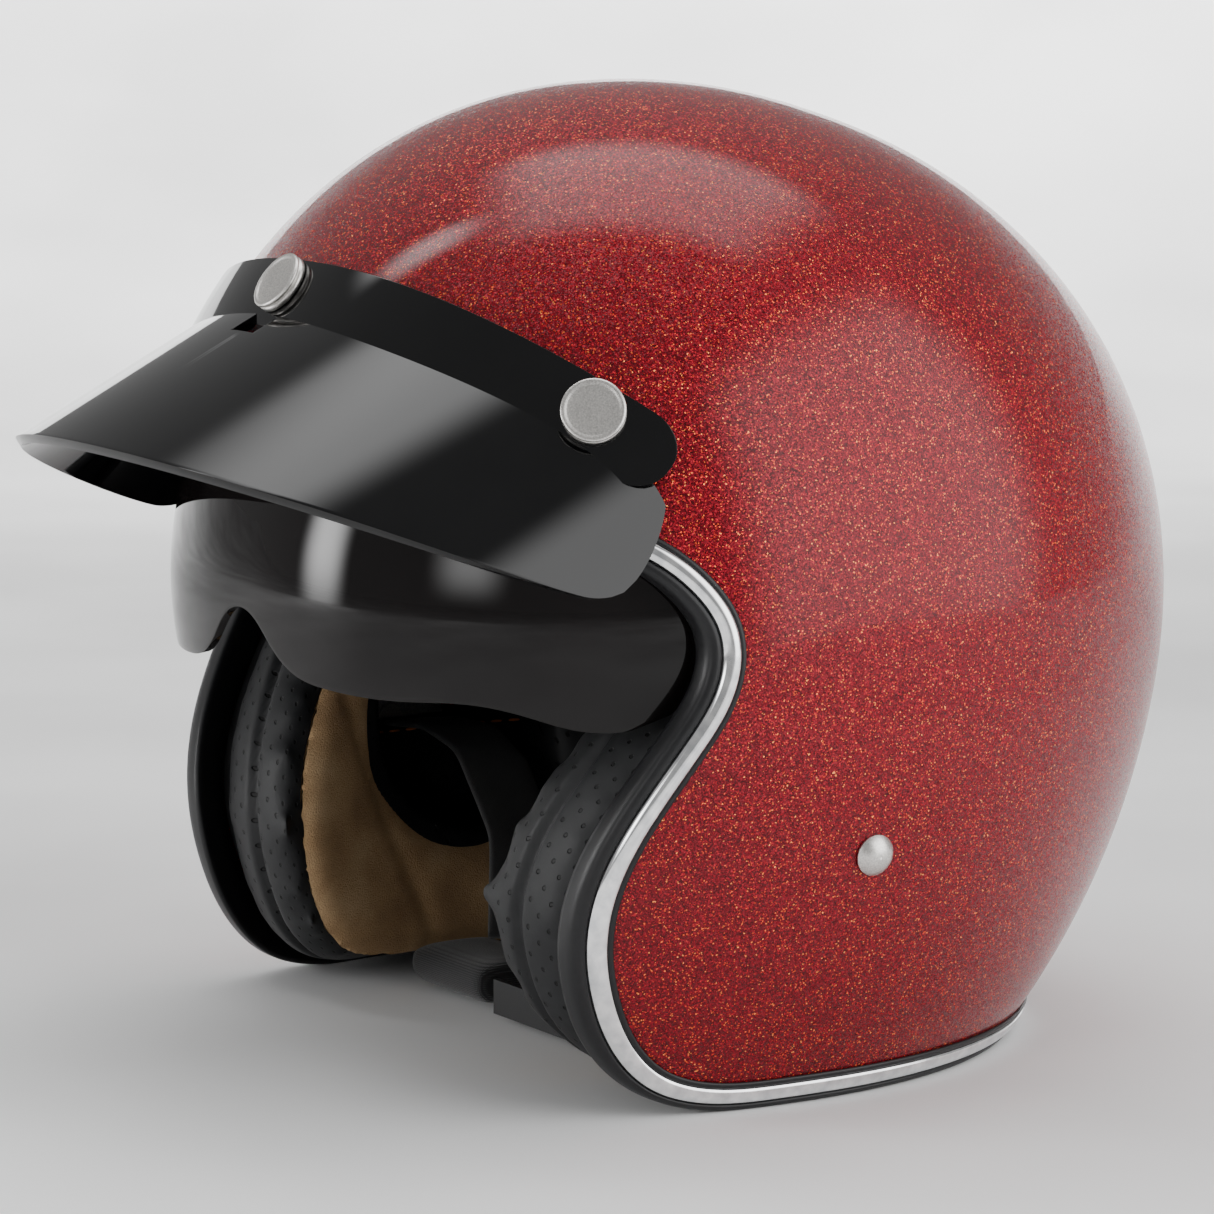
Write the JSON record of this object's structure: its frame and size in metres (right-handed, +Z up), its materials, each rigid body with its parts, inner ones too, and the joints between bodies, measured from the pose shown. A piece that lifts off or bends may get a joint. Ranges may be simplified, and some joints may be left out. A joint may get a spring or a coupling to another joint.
{
  "type": "open face motorcycle helmet",
  "caption": "Open face motorcycle helmet with a metal flake shell, press-stud peak, drop-down smoked sun visor, removable cheek pads and a ratchet chin strap.",
  "frame": {"origin": "centre of the bounding box on the plane that the edge trim stands on", "axes": "-Y towards the face opening, +X towards the wearer's left, +Z up"},
  "size_m": [0.2424, 0.2962, 0.2405],
  "materials": {
    "metal_flake_shell": "deep red metal flake under a clear gloss coat",
    "bright_trim": "bright polished",
    "trim_rubber": "satin",
    "smoked_lens": "smoked, glossy",
    "black_plastic": "moulded",
    "plated_steel": "zinc plated",
    "satin_nickel": "satin nickel plated",
    "black_foam": "moulded bead foam, painted black",
    "lining_mesh": "knitted mesh",
    "perforated_leather": "perforated, satin",
    "tan_plush": "short pile",
    "gloss_peak": "gloss",
    "strap_webbing": "twill webbing",
    "sleeve_cloth": "soft cloth",
    "buckle_red": "moulded"
  },
  "bodies": {
    "helmet": {"buckle_housing": "black_plastic", "buckle_pin": "plated_steel", "buckle_spring": "plated_steel", "cheek_backing_left": "black_plastic", "cheek_backing_right": "black_plastic", "cheek_pad_left": "perforated_leather", "cheek_pad_right": "perforated_leather", "cheek_plush_left": "tan_plush", "cheek_plush_right": "tan_plush", "chin_strap_left": "strap_webbing", "chin_strap_right": "strap_webbing", "crown_lining": "lining_mesh", "edge_trim_chrome": "bright_trim", "edge_trim_inner_lip": "trim_rubber", "edge_trim_rubber": "trim_rubber", "foam_liner": "black_foam", "headband_lining": "lining_mesh", "neck_roll": "perforated_leather", "outer_shell": "metal_flake_shell", "ratchet_tongue": "black_plastic", "snap_studs": "plated_steel", "strap_anchor_left": "plated_steel", "strap_anchor_right": "plated_steel", "strap_rivet_left": "satin_nickel", "strap_rivet_right": "satin_nickel", "strap_sleeve_left": "sleeve_cloth", "strap_sleeve_right": "sleeve_cloth", "strap_washer_left": "satin_nickel", "strap_washer_right": "satin_nickel", "visor_bracket_left": "black_plastic", "visor_bracket_right": "black_plastic", "visor_pivot_left": "plated_steel", "visor_pivot_right": "plated_steel", "visor_washer_left": "black_plastic", "visor_washer_right": "black_plastic"},
    "visor": {"sun_visor_lens": "smoked_lens"},
    "peak": {"peak": "gloss_peak", "snap_caps": "satin_nickel"},
    "lever": {"buckle_lever": "buckle_red"}
  },
  "joints": [
    {"name": "visor_swing", "type": "hinge", "parent": "helmet", "child": "visor", "pos_m": [0, -0.0041, 0.11495], "axis": [-1, 0, 0], "range_deg": [0, 46]},
    {"name": "peak_release", "type": "slide", "parent": "helmet", "child": "peak", "axis": [0, -0.9659, 0.2588], "range_m": [0, 0.06]},
    {"name": "buckle_lever_press", "type": "hinge", "parent": "helmet", "child": "lever", "pos_m": [0.024, -0.0111, 0.0084], "axis": [0, 1, 0], "range_deg": [0, 14]}
  ]
}
